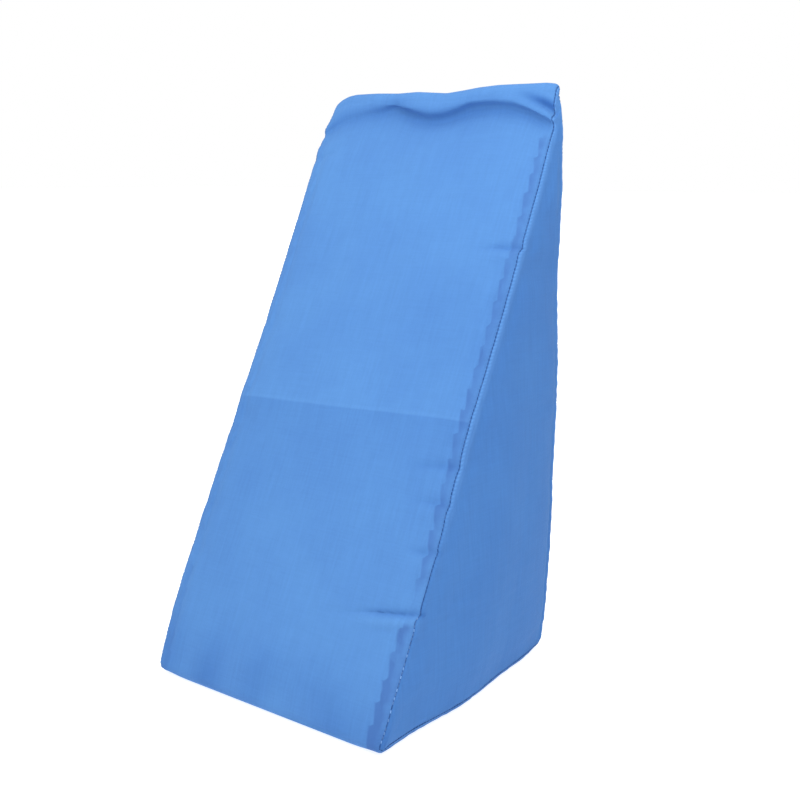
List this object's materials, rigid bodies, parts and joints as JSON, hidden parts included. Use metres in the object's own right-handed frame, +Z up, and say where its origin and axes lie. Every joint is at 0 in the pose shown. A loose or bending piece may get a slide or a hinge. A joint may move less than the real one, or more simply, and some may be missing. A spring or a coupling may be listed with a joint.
{
  "type": "positioning cushion",
  "caption": "Wedge cushion for positioning a body or limb: a right-triangular filled block in a sewn cloth cover, standing on its thick end.",
  "frame": {"origin": "middle of the underside's bounding box, on the floor that the thick end stands on", "axes": "+Z up from the thick end to the thin tip, the slope faces -Y, the flat back faces +Y, and the width runs along X"},
  "size_m": [0.2714, 0.2544, 0.5],
  "materials": {
    "wrap_cloth": "matt plain weave, mid blue",
    "side_panel_right_cloth": "matt plain weave, mid blue",
    "side_panel_left_cloth": "matt plain weave, mid blue"
  },
  "bodies": {
    "root": {"wrap": "wrap_cloth", "side_panel_right": "side_panel_right_cloth", "side_panel_left": "side_panel_left_cloth"}
  },
  "joints": []
}
